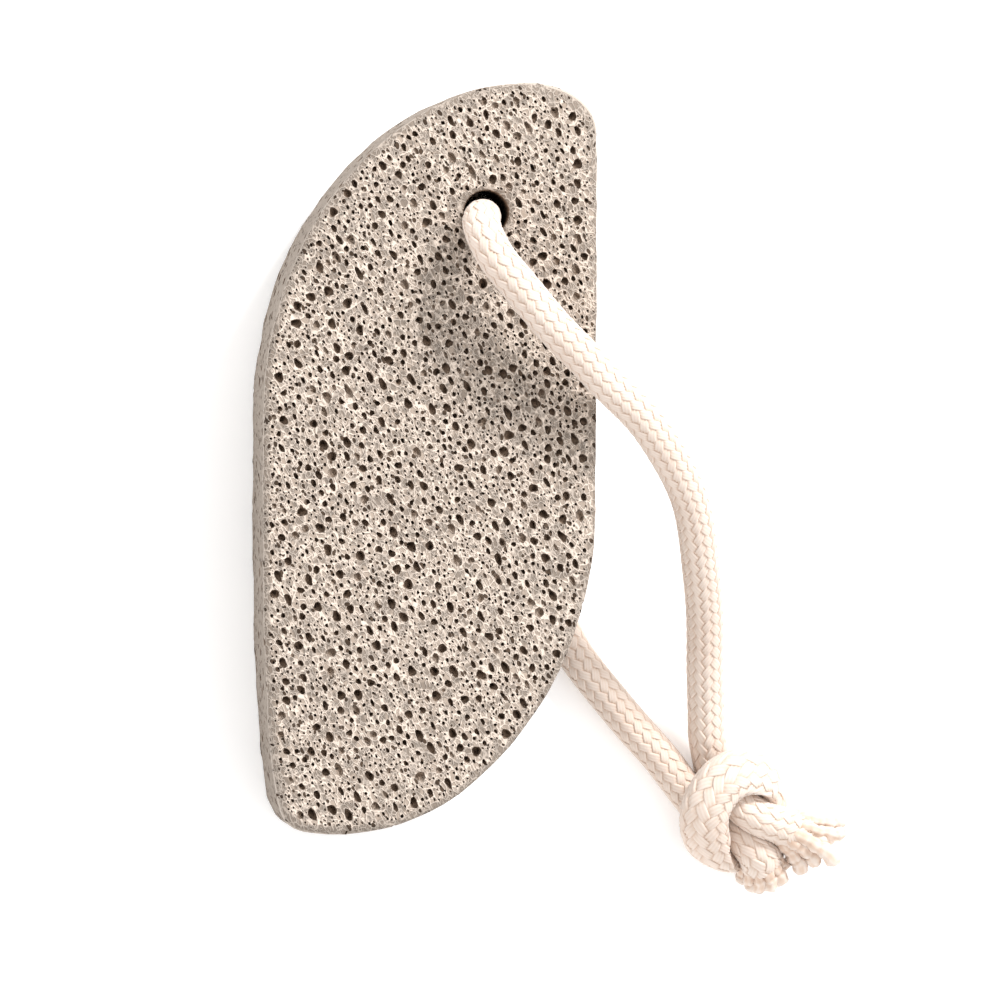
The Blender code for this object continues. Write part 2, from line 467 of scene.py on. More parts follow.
def sections(front, back):
    """How the two strands' sections change along them: slimmer in the hole, flat where one wraps the
    other, wider towards their ends, and drawn in just before the cut."""
    core = in_knot([(0.0, 0.0, 5.5)])[0]
    made = []
    for path, wraps, most in ((front, True, FRONT_SQUEEZE), (back, False, BACK_SQUEEZE)):
        run = run_of(path)
        flat = band_flatness(path, run, core) if wraps else np.zeros(len(path))
        flare = rise(run, run[-1] - 9, run[-1] + 1)
        squeeze = most * (1 - rise(run, IN_HOLE - 2, IN_HOLE + 5))
        tuck = END_TUCK * rise(run, run[-1] - 1.8, run[-1])
        thin = 1 - BAND_THINNER * flat + FLARE_THICKER * flare - squeeze - tuck
        wide = 1 + BAND_WIDER * flat + FLARE_WIDER * flare - squeeze - tuck
        outward = (path - core) * (1.0, 1.0, 2.2)
        thin_way = np.where(flat[:, None] > 0.01, outward, (0.0, 0.0, 1.0))
        made.append((thin_way, thin, wide))
    return made


# ---- the braid


def carried_frames(path):
    """Tangents, and two normals that turn as little as they can along the path."""
    along = unit(np.gradient(path, axis=0))
    side = np.empty_like(path)
    side[0] = unit(np.cross(along[0], (0.3, 0.2, 1.0)))
    for k in range(1, len(path)):
        v = side[k - 1] - along[k] * (side[k - 1] @ along[k])
        side[k] = v / np.linalg.norm(v)
    return along, side, np.cross(along, side)


def ribbon_faces(length, size):
    """The triangles of a closed ribbon: length sections of size points, and its two caps."""
    k, m = np.meshgrid(np.arange(length - 1), np.arange(size), indexing="ij")
    n = (m + 1) % size
    a, b = (k * size + m).ravel(), (k * size + n).ravel()
    c, d = ((k + 1) * size + n).ravel(), ((k + 1) * size + m).ravel()
    fan = np.arange(1, size - 1)
    last = (length - 1) * size
    return np.concatenate([
        np.stack([a, b, c], 1),
        np.stack([a, c, d], 1),
        np.stack([0 * fan, fan + 1, fan], 1),
        np.stack([0 * fan, fan, fan + 1], 1) + last,
    ])


def ribbon_section():
    """A ribbon's section, round the rope: angles, and heights over its base. Its outer side is a
    row of yarns."""
    steps = YARNS * YARN_FACETS
    spread = np.linspace(-0.5, 0.5, steps + 1) * 2 * math.pi / CARRIERS * RIBBON_OVERLAP
    lift = YARN_BULGE * np.abs(np.sin(np.linspace(0, YARNS, steps + 1) * math.pi)) ** YARN_ROUNDNESS
    spread = np.concatenate([spread, spread[[-1, 0]] * RIBBON_INNER_WIDTH])
    lift = np.concatenate([lift, [-RIBBON_THICKNESS, -RIBBON_THICKNESS]])
    return spread, lift


def braid(name, path, section, others):
    """A rope of flat ribbons of yarn, each over two and under two. section is the thin direction
    and the two half sizes along the path, as shares of the rope's radius."""
    along, side, other = carried_frames(path)
    thin_way, thin, wide = section
    thin_way = unit(thin_way - along * (thin_way * along).sum(1, keepdims=True))
    wide_way = np.cross(along, thin_way)
    run = run_of(path)
    spread, lift = ribbon_section()
    size = len(spread)
    ribbon = ribbon_faces(len(path), size)
    base = ROPE_RADIUS - WEAVE_DEPTH - YARN_BULGE
    points, faces, deep = [], [], []
    for way in (1, -1):
        for carrier in range(CARRIERS):
            middle = way * 2 * math.pi * run / TURN_LENGTH + 2 * math.pi * carrier / CARRIERS
            angle = middle[:, None] + spread[None]
            phase = CARRIERS / 2 * (middle[:, None] + spread[None] / 2) + math.pi / 4
            wave = np.tanh(FLATTER * np.sin(phase)) / math.tanh(FLATTER)
            radius = base + way * WEAVE_DEPTH * wave + lift[None]
            out = np.cos(angle)[..., None] * side[:, None] + np.sin(angle)[..., None] * other[:, None]
            out = out * radius[..., None]
            for axis, share in ((thin_way, thin), (wide_way, wide)):
                out += ((share - 1)[:, None] * (out * axis[:, None]).sum(2))[..., None] * axis[:, None]
            points.append((path[:, None] + out).reshape(-1, 3))
            # How deep each point lies in the weave, painted as shade in the crevices.
            deep.append(np.clip((ROPE_RADIUS - radius) / (2 * WEAVE_DEPTH + YARN_BULGE), 0, 1).ravel())
            faces.append(ribbon + len(points[0]) * (len(points) - 1))
    points = np.concatenate(points)
    own = np.tile(np.repeat(np.arange(len(path)), size), 2 * CARRIERS)
    points = flatten_contacts(points, own, path, thin * ROPE_RADIUS, others)
    rope = mesh_from(name, points * MM, np.concatenate(faces))
    add_attribute(rope, "crevice_shade", np.concatenate(deep))
    return rope


def flatten_contacts(points, own, path, radius, others, block_size=4000):
    """Moves points that lie past the plane halfway to another turn back onto that plane. own says
    which point of the path each point goes with."""
    run = run_of(path)
    rivals = [(path, radius, run)] + [(p, r, None) for p, r in others]
    for rival, rival_radius, rival_run in rivals:
        for block in range(0, len(points), block_size):
            here = slice(block, block + block_size)
            p, centre = points[here], path[own[here]]
            gap = np.linalg.norm(p[:, None] - rival[None, ::2], axis=2)
            if rival_run is not None:
                same_turn = abs(rival_run[None, ::2] - run[own[here]][:, None]) < SAME_TURN_RUN
                gap[same_turn] = FAR_AWAY
            nearest = gap.argmin(1)
            close = gap[np.arange(len(p)), nearest] < 2 * ROPE_RADIUS
            nearest = nearest * 2
            across = rival[nearest] - centre
            length = np.linalg.norm(across, axis=1)
            across /= length[:, None]
            share = radius[own[here]] / (radius[own[here]] + rival_radius[nearest])
            past = ((p - centre) * across).sum(1) - (length * share - CONTACT_GAP)
            move = np.where(close, np.clip(past, 0, None), 0)
            points[here] = p - across * move[:, None]
    points[:, 2] = np.maximum(points[:, 2], FLOOR_GAP)
    return points


# ---- the frayed ends


def frayed_yarn(rng, line, radius, whole, beads):
    """One loose yarn along a line: its points, ending with the middles of its two caps, and how
    deep in shade each of them is."""
    s = np.linspace(0, 1, FRAY_STEPS)[:, None] ** 0.8
    to_tip = np.clip((1 - s[:, 0]) * whole / radius, 0, 1)
    thickness = beads * (0.6 + 0.3 * s[:, 0] + 0.25 * s[:, 0] ** 5)
    profile = thickness * np.sqrt(np.clip(1 - (1 - to_tip) ** 2, 0.06, 1))
    tangent, side, other = carried_frames(line)
    theta = 2 * math.pi * np.arange(FRAY_SIDES) / FRAY_SIDES
    twist = theta[None] + FRAY_TWIST * s + 6 * rng.random()
    lobes = np.cos(FRAY_LOBES * twist)
    fluff = 1 + 0.08 * lobes + 0.05 * rng.normal(size=(FRAY_STEPS, FRAY_SIDES)) * s
    r = (radius * profile)[:, None] * fluff
    round_it = np.cos(theta)[None, :, None] * side[:, None] + np.sin(theta)[None, :, None] * other[:, None]
    skin = line[:, None] + r[..., None] * round_it
    points = np.concatenate([skin.reshape(-1, 3), line[:1], line[-1:] + tangent[-1:] * 0.1])
    dark = 0.28 - 0.2 * s - 0.3 * lobes + 0.6 * (1 - s) ** 2 + 2.2 * (1 - beads)[:, None]
    return points, np.append(np.clip(dark, 0, 1).ravel(), [1.0, 0.3])


def frayed_yarn_faces(first):
    """The triangles of one loose yarn, whose points begin at first."""
    ring = np.arange(FRAY_SIDES)
    after = (ring + 1) % FRAY_SIDES
    faces = []
    for level in range(FRAY_STEPS - 1):
        lower = first + level * FRAY_SIDES + ring
        faces.append(between_rings(lower, lower + FRAY_SIDES))
    top = first + (FRAY_STEPS - 1) * FRAY_SIDES
    pole = first + FRAY_STEPS * FRAY_SIDES
    faces.append(np.stack([first + after, first + ring, pole + 0 * ring], 1))
    faces.append(np.stack([top + ring, top + after, pole + 1 + 0 * ring], 1))
    return np.concatenate(faces)


def frayed_end(name, path, section, seed, root, length, uneven):
    """The cut end of a strand: its yarns' own ends, loose and fluffy. They part from the braid at root
    before its end and reach length past it. uneven is how much longer they are on the side away from
    the knot's shorter end."""
    rng = np.random.default_rng(seed)
    thin_way, thin, wide = (part[-6] for part in section)
    along = unit(path[-1] - path[-4])
    thin_way = unit(thin_way - along * (thin_way @ along))
    wide_way = np.cross(along, thin_way)
    run = run_of(path)
    s = np.linspace(0, 1, FRAY_STEPS)[:, None] ** 0.8
    points, faces, deep = [], [], []
    for share, count in FRAY_RINGS:
        for k in range(count):
            turn = 2 * math.pi * (k + 0.25 * rng.random()) / count
            sideways = thin * math.cos(turn) * thin_way + wide * math.sin(turn) * wide_way
            offset = share * ROPE_RADIUS * sideways
            outward = offset / ROPE_RADIUS
            long_side = max(0.0, float(outward @ KNOT_ACROSS))
            whole = root + length * (0.7 + 0.3 * rng.random() + uneven * long_side)
            stray = rng.uniform(-FRAY_STRAY, FRAY_STRAY, 3)
            curl = FRAY_SPREAD * outward + stray - FRAY_TURN_BACK * uneven * long_side * KNOT_ACROSS
            radius = FRAY_RADIUS * rng.uniform(0.85, 1.15)
            distance = run[-1] - root + whole * s[:, 0]
            line = np.stack([np.interp(distance, run, part) for part in path.T], 1)
            line += np.maximum(distance - run[-1], 0)[:, None] * along
            line += offset * np.clip(0.6 + 1.6 * s, 0, 1) + curl * whole * s**2
            wiggle = 2 * math.pi * whole * s / WIGGLE_LENGTH + 6 * rng.random()
            line += WIGGLE * s * (np.cos(wiggle) * thin_way + np.sin(wiggle) * wide_way)
            bead_phase = 2 * math.pi * whole * s[:, 0] / BEAD_LENGTH + 6 * rng.random()
            yarn, shade = frayed_yarn(rng, line, radius, whole, 1 + BEADING * np.sin(bead_phase))
            faces.append(frayed_yarn_faces(sum(len(p) for p in points)))
            points.append(yarn)
            deep.append(shade)
    points = np.concatenate(points)
    points[:, 2] = np.maximum(points[:, 2], FLOOR_GAP)
    tufts = mesh_from(name, points * MM, np.concatenate(faces))
    add_attribute(tufts, "crevice_shade", np.concatenate(deep))
    return tufts


FRONT_NODES = ("rope_front", "rope_knot", "rope_end_long")
BACK_NODES = ("rope_back", "rope_end_short")
FRONT_FRAY = {"seed": 21, "root": 6.5, "length": 3.7, "uneven": 0.7}
BACK_FRAY = {"seed": 22, "root": 2.4, "length": 3.0, "uneven": 0.1}


def make_ropes():
    middle = THICKNESS / 2
    hole = on_stone(in_hole(FRONT_OFF_CENTRE, (middle + HALF_GAP, THICKNESS - 5.0, THICKNESS)))
    under = in_hole(BACK_OFF_CENTRE, [middle - HALF_GAP]) + in_hole(BACK_LOWER_OFF_CENTRE, [6.0])
    under = on_stone(under + in_hole((0.0, 0.0), [2.6]))
    strands = [
        np.concatenate([hole, FRONT_ROUTE, in_knot(FRONT_KNOT)]),
        np.concatenate([under, BACK_ROUTE, in_knot(BACK_KNOT)]),
    ]
    front, back = tighten(strands)
    cotton = cotton_material()
    squashed = sections(front, back)
    for name, path, section, rival, nodes, mouth, fray in (
        ("rope_front_strand", front, squashed[0], (back, squashed[1]), FRONT_NODES, THICKNESS, FRONT_FRAY),
        ("rope_back_strand", back, squashed[1], (front, squashed[0]), BACK_NODES, 0.0, BACK_FRAY),
    ):
        rope = braid(name, path, section, [(rival[0], rival[1][1] * ROPE_RADIUS)])
        rope.data.materials.append(cotton)
        tufts = frayed_end(name.replace("strand", "fray"), path, section, **fray)
        tufts.data.materials.append(cotton)
        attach(rope, "root")
        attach(tufts, "root")
        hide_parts(*nodes)


# ---- materials


class Nodes:
    """Short ways to add and join the nodes of one material."""

    def __init__(self, name):
        self.material = bpy.data.materials.new(name)
        self.material.use_nodes = True
        self.tree = self.material.node_tree
        self.shader = self.tree.nodes["Principled BSDF"]

    def put(self, socket, value):
        """Links a socket's value, or sets a plain one."""
        if isinstance(value, bpy.types.NodeSocket):
            self.tree.links.new(value, socket)
        else:
            socket.default_value = value

    def add(self, kind, inputs=None, **settings):
        node = self.tree.nodes.new("ShaderNode" + kind)
        for key, value in settings.items():
            setattr(node, key, value)
        for key, value in (inputs or {}).items():
            self.put(node.inputs[key], value)
        return node

    def maths(self, operation, *values):
        return self.add("Math", dict(enumerate(values)), operation=operation).outputs[0]

    def remap(self, value, low, high, to_low=0.0, to_high=1.0):
        """Takes low to high onto to_low to to_high, and stops at both ends."""
        inputs = {"Value": value, "From Min": low, "From Max": high, "To Min": to_low, "To Max": to_high}
        return self.add("MapRange", inputs).outputs["Result"]

    def noise(self, where, scale, detail, distortion=0.0, output="Fac"):
        inputs = {"Vector": where, "Scale": scale, "Detail": detail, "Distortion": distortion}
        return self.add("TexNoise", inputs).outputs[output]

    def along_grain(self, where, scale):
        """Coordinates stretched along the stone's grain, for a pattern of that scale in metres."""
        turn = (0.0, 0.0, math.radians(GRAIN_DEG))
        inputs = {"Vector": where, "Rotation": turn, "Scale": scale}
        return self.add("Mapping", inputs, vector_type="TEXTURE").outputs["Vector"]

    def ramp(self, value, stops):
        node = self.add("ValToRGB", {"Fac": value})
        while len(node.color_ramp.elements) < len(stops):
            node.color_ramp.elements.new(0.5)
        for element, (place, colour) in zip(node.color_ramp.elements, stops):
            element.position = place
            element.color = (*colour, 1.0)
        return node.outputs["Color"]

    def mix(self, factor, a, b, blend="MIX"):
        node = self.add("Mix", data_type="RGBA", blend_type=blend)
        for key, value in ((0, factor), (6, a), (7, b)):
            self.put(node.inputs[key], value)
        return node.outputs[2]

    def link(self, output, name):
        self.tree.links.new(output, self.shader.inputs[name])


def cotton_material():
    made = Nodes("cotton")
    where = made.add("TexCoord").outputs["Object"]
    crevice_shade = made.add("Attribute", attribute_name="crevice_shade").outputs["Fac"]
    patches = made.noise(where, 90.0, 3.0)
    tone = made.ramp(patches, [(0.3, (0.71, 0.59, 0.51)), (0.7, (0.77, 0.67, 0.595))])
    # Painted shade: darker tan deeper in the braid's crevices and in the loose yarns' shaded parts.
    shades = [(0.05, (1.0, 1.0, 1.0)), (0.35, (0.91, 0.84, 0.78)), (1.0, (0.76, 0.62, 0.52))]
    dark = made.ramp(crevice_shade, shades)
    made.link(made.mix(1.0, tone, dark, "MULTIPLY"), "Base Color")
    fibres = made.noise(where, 2600.0, 2.0)
    bump = made.add("Bump", {"Height": fibres, "Strength": 0.25, "Distance": 0.0002})
    made.link(bump.outputs["Normal"], "Normal")
    made.shader.inputs["Roughness"].default_value = 0.92
    made.shader.inputs["Sheen Weight"].default_value = 0.15
    return made.material


# The pumice's colours, over its own dark and light patches.
FACE_TONES = [(0.3, (0.222, 0.178, 0.144)), (0.7, (0.27, 0.22, 0.18))]
SIDE_TONES = [(0.3, (0.245, 0.203, 0.168)), (0.7, (0.275, 0.232, 0.195))]
# A painted highlight along the side wall's front edge.
EDGE_HIGHLIGHT_COLOUR = (0.56, 0.49, 0.43, 1.0)
# A painted highlight on the foam's ridges and on the lips round its pits.
RIDGE_HIGHLIGHT_COLOUR = (0.465, 0.395, 0.337, 1.0)
# Painted shade in the small pits.
PIT_SHADE_COLOUR = (0.05, 0.033, 0.022, 1.0)

# What the colour is multiplied by, from the hole's inside and a pore's floor to its rim: painted shade in
# the hole and pores, and a painted highlight on pore rims and along the straight side.
TONE_LOW, TONE_HIGH = -2.0, 1.0
TONE_STOPS = [
    (0.0, (0.13, 0.095, 0.07)),
    (0.333, (0.46, 0.36, 0.285)),
    (0.5, (0.66, 0.56, 0.48)),
    (0.667, (1.0, 1.0, 1.0)),
    (0.86, (1.0, 1.0, 1.0)),
    (1.0, (1.55, 1.55, 1.55)),
]

# In metres: how deep from a face its sawn finish starts, and fades in.
SAWN_DEPTH, SAWN_FADE = 0.0009, 0.0004
# In metres, down from the front: where the painted highlight on the side wall's edge starts, and where it
# is full.
EDGE_HIGHLIGHT_FROM, EDGE_HIGHLIGHT_TO = 0.0020, 0.0005
FOAM_CELL = (0.0013, 0.00088, 0.001)
FIBRE_CELL = (0.0026, 0.00055, 0.0008)
RELIEF = 0.00018


def sawn_faces(made, height, front, back):
    """1 on the two sawn faces and 0 on the side wall, by how high the point is across the slab."""
    near_front = made.remap(height, front - SAWN_DEPTH, front - SAWN_DEPTH + SAWN_FADE)
    near_back = made.remap(height, back + SAWN_DEPTH, back + SAWN_DEPTH - SAWN_FADE)
    return made.maths("MAXIMUM", near_front, near_back)


def foam(made, where, sawn):
    """Small cells drawn out along the grain: their thin walls, and a pit in many of them. The walls
    are faint on the side wall, and the pits a little weaker."""
    wander = made.noise(where, 700.0, 1.0, output="Color")
    inputs = {0: wander, 1: (0.9, 0.9, 0.9), 2: made.along_grain(where, FOAM_CELL)}
    bent = made.add("VectorMath", inputs, operation="MULTIPLY_ADD").outputs["Vector"]
    cells = made.add("TexVoronoi", {"Vector": bent, "Scale": 1.0})
    borders = made.add("TexVoronoi", {"Vector": bent, "Scale": 1.0}, feature="DISTANCE_TO_EDGE")
    walls = made.remap(borders.outputs["Distance"], 0.03, 0.13, 1.0, 0.0)
    luck = made.add("SeparateColor", {"Color": cells.outputs["Color"]}).outputs[0]
    near = made.maths("MULTIPLY_ADD", luck, -0.48, cells.outputs["Distance"])
    pits = made.remap(near, -0.13, -0.06, 1.0, 0.0)
    lips = made.remap(near, 0.0, 0.06, 0.85, 0.0)
    walls = made.maths("MAXIMUM", walls, lips)
    walls = made.maths("MULTIPLY", walls, made.remap(sawn, 0.0, 1.0, 0.2))
    pits = made.maths("MULTIPLY", pits, made.remap(sawn, 0.0, 1.0, 0.75))
    return walls, pits


def grain_fibres(made, where, sawn):
    """Thin ridges along the grain, on the sawn faces."""
    streaks = made.noise(made.along_grain(where, FIBRE_CELL), 1.0, 1.0, distortion=0.6)
    off = made.maths("ABSOLUTE", made.maths("SUBTRACT", streaks, 0.5))
    return made.maths("MULTIPLY", made.remap(off, 0.012, 0.05, 0.9, 0.0), sawn)


def pumice_material():
    made = Nodes("pumice")
    where = made.add("TexCoord").outputs["Object"]
    height = made.add("VectorMath", {0: where, 1: tuple(FACE)}, operation="DOT_PRODUCT").outputs["Value"]
    back = STONE_ORIGIN @ FACE * MM
    front = back + THICKNESS * MM
    sawn = sawn_faces(made, height, front, back)
    walls, pits = foam(made, where, sawn)
    ridges = made.maths("MAXIMUM", walls, grain_fibres(made, where, sawn))

    patches = made.noise(where, 130.0, 5.0)
    # A painted highlight along the side wall's front edge.
    edge_highlight = made.remap(height, front - EDGE_HIGHLIGHT_FROM, front - EDGE_HIGHLIGHT_TO)
    side = made.mix(edge_highlight, made.ramp(patches, SIDE_TONES), EDGE_HIGHLIGHT_COLOUR)
    plain = made.mix(sawn, side, made.ramp(patches, FACE_TONES))
    # A painted highlight on the ridges.
    ridged = made.mix(ridges, plain, RIDGE_HIGHLIGHT_COLOUR)
    # Painted shade in the pits.
    pitted = made.mix(pits, ridged, PIT_SHADE_COLOUR)
    # Painted shade in the hole and pores, and a painted highlight on rims and along the straight side,
    # from the tone attribute.
    tone = made.add("Attribute", attribute_name="tone").outputs["Fac"]
    shade = made.ramp(made.remap(tone, TONE_LOW, TONE_HIGH), TONE_STOPS)
    made.link(made.mix(1.0, pitted, shade, "MULTIPLY"), "Base Color")

    relief = made.maths("MULTIPLY_ADD", made.noise(where, 2200.0, 2.0), 0.35, ridges)
    relief = made.maths("MULTIPLY_ADD", pits, -1.8, relief)
    bump = made.add("Bump", {"Height": relief, "Strength": 1.0, "Distance": RELIEF})
    made.link(bump.outputs["Normal"], "Normal")
    made.shader.inputs["Roughness"].default_value = 0.95
    made.shader.inputs["Specular IOR Level"].default_value = 0.2
    return made.material


# ---- the stone


class Pores:
    """Pore outlines in a flat region, strewn at random without touching."""

    def __init__(self, seed, grain_deg, stretch):
        self.rng = np.random.default_rng(seed)
        turn = math.radians(grain_deg)
        c, s = math.cos(turn), math.sin(turn)
        squeeze = np.array([[1 / stretch, 0.0], [0.0, 1.0]])
        self.flatten = squeeze @ np.array([[c, s], [-s, c]])
        self.restore = np.linalg.inv(self.flatten)
        self.middles = np.zeros((0, 2))
        self.reach = np.zeros(0)
        self.loops = []

    def shape(self, size):
        """A lumpy outline, the gap round it, and its luck, from 0 to 1, which sets its depth."""
        draws = self.rng.random(9)
        waves = PORE_WAVES * (0.2 + draws[:3])
        sides = int(np.clip(4.2 + size * 9, *PORE_SIDES))
        turn = 2 * math.pi * (np.arange(sides) + 0.3 * self.rng.random(sides)) / sides
        bulge = sum(waves[n] * np.cos((n + 2) * turn + 7 * draws[3 + n]) for n in range(3))
        longer = 0.9 + 0.4 * draws[8] ** 2
        loop = np.stack([np.cos(turn) * longer, np.sin(turn) / longer], 1) * (size * (1 + bulge))[:, None]
        return loop, PORE_GAP + PORE_EXTRA_GAP * draws[6] ** 2, draws[7]

    def strew(self, count, low, high, bias, draw, margin_of, tries=30):
        """Adds pores of radius low to high, from the largest down. draw gives random points of the
        region, and margin_of how far each is from its edge."""
        sizes = np.sort(low + (high - low) * self.rng.random(count) ** bias)[::-1]
        middles, reaches, used = np.zeros((count, 2)), np.zeros(count), 0
        for size in sizes:
            loop, gap, luck = self.shape(size)
            reach = np.linalg.norm(loop, axis=1).max()
            widest = np.linalg.norm(loop @ self.restore.T, axis=1).max()
            places = draw(self.rng, tries)
            flat = places @ self.flatten.T
            kept = margin_of(places) > widest + PORE_GAP
            apart = np.linalg.norm(middles[None, :used] - flat[:, None], axis=2) - reaches[:used]
            kept &= (apart > reach + gap).all(1)
            if not kept.any():
                continue
            middle = flat[kept.argmax()]
            middles[used], reaches[used] = middle, reach
            used += 1
            self.loops.append(((middle + loop) @ self.restore.T, size, luck))
        self.middles, self.reach = middles[:used], reaches[:used]

    def clear_of(self, flat):
        """Whether a point is on the plain surface, clear of every pore."""
        return (np.linalg.norm(self.middles - flat, axis=1) - self.reach).min() >= CLEAR_OF_PORES

    def thin_out(self, places, margin_of, spacing):
        """Those of some places that lie on the plain surface, clear of its edge and of each other."""
        places = places[margin_of(places) > spacing]
        kept = np.zeros((0, 2))
        for flat in places @ self.flatten.T:
            if not self.clear_of(flat):
                continue
            if len(kept) and np.linalg.norm(kept - flat, axis=1).min() < spacing:
                continue
            kept = np.vstack([kept, flat])
        return kept @ self.restore.T


class Shell:
    """The stone's surface, gathered patch by patch: points in its flat frame, a tone for each (1 on
    a pore's rim, 0 on the plain surface, below 0 in a pore, and down to -2 in the hole), and
    triangles. The tone paints light and shade: a highlight on rims, shade in pores and the hole."""

    def __init__(self):
        self.points, self.tones, self.triangles = [], [], []
        self.count = 0
        self.roughness = 1.0
        self.sharp = False  # whether its pores have crisp edges, without a painted highlight on the rim

    def add(self, points, tones, triangles):
        self.points.append(np.asarray(points, float))
        self.tones.append(np.asarray(tones, float))
        self.triangles.append(np.asarray(triangles, int) + self.count)
        self.count += len(points)

    def patch(self, loops, extra, pores, place, rng, highlight_tone=None):
        """Fills a flat region between its own closed loops, the first outside the rest, with pores
        sunk into it. place turns flat points and depths into places on the stone. The last argument
        gives the tone of points that carry a painted highlight."""
        flat, rings = [], []
        for loop in [*loops, *(pore[0] for pore in pores)]:
            rings.append(np.arange(len(flat), len(flat) + len(loop)))
            flat.extend(loop)
        edge_count = sum(len(loop) for loop in loops)
        rim_count = len(flat)
        rims = rings[len(loops) :]
        flat.extend(extra)
        outlines = [[int(i) for i in ring] for ring in rings]
        filled = delaunay_2d_cdt([Vector(p) for p in flat], [], outlines, 1, 1e-7)
        out_points, _, out_faces, origin, _, face_origin = filled
        out_points = np.array([tuple(p) for p in out_points])
        where = np.full(len(flat), -1)
        for k, ids in enumerate(origin):
            if ids:
                out_points[k] = flat[ids[0]]
                where[list(ids)] = k
        kept = [f for f, o in zip(out_faces, face_origin) if 0 in o and len(o) == 1]
        tone = np.zeros(len(out_points))
        lift = np.zeros(len(out_points))
        rim_points = where[edge_count:rim_count]
        plain_points = where[rim_count:]
        tone[rim_points] = 0.0 if self.sharp else 1.0
        lift[rim_points] = RIM_LIFT + RIM_ROUGHNESS * rng.random(len(rim_points))
        lift[plain_points] = -PLAIN_SINK - PLAIN_ROUGHNESS * rng.random(len(plain_points))
        lift *= self.roughness
        if highlight_tone:
            tone = np.maximum(tone, highlight_tone(out_points))
        start = self.count
        self.add(place(out_points, -lift), tone, kept)
        for rim, (loop, size, luck) in zip(rims, pores):
            self.sink(start + where[rim], loop, size, luck, place)

    def sink(self, rim, loop, size, luck, place):
        """A pore's wall and floor, under its rim, with painted shade inside. The floor is higher on one
        side, where its painted shade is lighter.
        """
        middle = loop.mean(0)
        shallow = luck < SHALLOW_SHARE
        lean = HIGH_LIT_SIDE + 2.4 * (luck * 7 % 1 - 0.5)
        higher = unit(loop - middle) @ (math.cos(lean), math.sin(lean))
        depth = size * (0.7 if shallow else 1.1 + 0.9 * luck)
        steps = [(0.7, depth)] if size < TINY_PORE else [(0.9, 0.4 * depth), (0.58, depth)]
        if self.sharp:
            steps.insert(0, (0.96, 0.04))
        above = rim
        n = len(rim)
        for share, down in steps:
            ring = middle + (loop - middle) * share
            dark = -0.45 if shallow else -1.0 - 0.8 * np.clip((SMALL_PORE - size) / 0.24, 0, 1)
            slant = 0.4 * higher * (down / depth)
            dark = dark * (1 - 1.2 * slant) * (1.0 if self.sharp else 0.5 + down / depth / 2)
            below = np.arange(n) + self.count
            self.add(place(ring, down * (1 - slant)), dark, np.zeros((0, 3)))
            self.triangles.append(between_rings(above, below))
            above = below
        fan = np.arange(1, n - 1)
        self.triangles.append(np.stack([above[0] + 0 * fan, above[fan], above[fan + 1]], 1))

    def rings(self, rings, tones):
        """Joins rings of one length, each to the next."""
        n = len(rings[0])
        start = self.count
        self.add(np.concatenate(rings), np.repeat(tones, n), np.zeros((0, 3)))
        for level in range(len(rings) - 1):
            upper = start + level * n + np.arange(n)
            self.triangles.append(between_rings(upper, upper + n))


class Slab:
    """The slab's outline and edge roundings, and where points of its unrolled side wall lie."""

    def __init__(self):
        self.edge, self.around = outline()
        self.into = inward(self.edge)
        self.count = len(self.edge)
        self.step = self.around / self.count
        self.rounding = np.full(self.count, EDGE_ROUNDING)
        for corner, reach, extra in WORN_CORNERS:
            near = np.clip(1 - np.linalg.norm(self.edge - corner, axis=1) / reach, 0, 1)
            self.rounding += extra * near**2 * (3 - 2 * near)

    def on_side(self, flat, depth):
        """Where the side wall's points lie: how far round it and how far down from the front."""
        edge = np.vstack([self.edge, self.edge[:1]])
        into = np.vstack([self.into, self.into[:1]])
        rounding = np.append(self.rounding, self.rounding[0])
        at = np.clip(flat[:, 0] / self.step, 0, self.count)
        k = np.minimum(at.astype(int), self.count - 1)
        t = (at - k)[:, None]
        base = edge[k] * (1 - t) + edge[k + 1] * t
        inner = unit(into[k] * (1 - t) + into[k + 1] * t)
        bend = rounding[k] * (1 - t[:, 0]) + rounding[k + 1] * t[:, 0]
        v = flat[:, 1]
        turn_front = np.clip(v / FRONT_ARC, 0, 1) * math.pi / 2
        turn_back = np.clip((v - FRONT_ARC - WALL) / BACK_ROUNDING, 0, math.pi / 2)
        inset = bend * (1 - np.sin(turn_front)) + BACK_ROUNDING * (1 - np.cos(turn_back))
        down = np.clip((v - FRONT_ARC) / WALL, 0, 1) * (THICKNESS - BACK_ROUNDING - bend)
        fall = bend * (1 - np.cos(turn_front)) + down + BACK_ROUNDING * np.sin(turn_back)
        slope = np.where(v < FRONT_ARC, turn_front, math.pi / 2 + turn_back)
        spot = np.column_stack([base + inner * inset[:, None], THICKNESS - fall])
        facing = np.column_stack([-inner * np.sin(slope)[:, None], np.cos(slope)])
        return spot - facing * depth[:, None]

    def face_margin(self, inset, hole):
        """How far a face's points are from its edge, inset from the outline, and from its hole."""
        line = self.edge + self.into * np.reshape(inset, (-1, 1))

        def margin(places):
            clear = np.linalg.norm(places - HOLE, axis=1) - hole
            inside = ((places[:, None] - line[None]) * self.into[None]).sum(2).min(1)
            return np.minimum(inside, clear)

        return margin

    def side_margin(self, places):
        sides = np.minimum(places[:, 0], self.around - places[:, 0])
        return np.minimum(sides, np.minimum(places[:, 1], DROP - places[:, 1]))


def on_front(flat, depth):
    return np.column_stack([flat, THICKNESS - depth])


def on_back(flat, depth):
    return np.column_stack([flat, depth])


def over_face(rng, n):
    return np.column_stack([rng.uniform(-HALF_WIDTH, HALF_WIDTH, n), rng.uniform(BOTTOM_Y, TOP_Y, n)])


def hole_circle():
    turns = 2 * math.pi * np.arange(HOLE_SIDES) / HOLE_SIDES
    return np.stack([np.cos(turns), np.sin(turns)], 1)


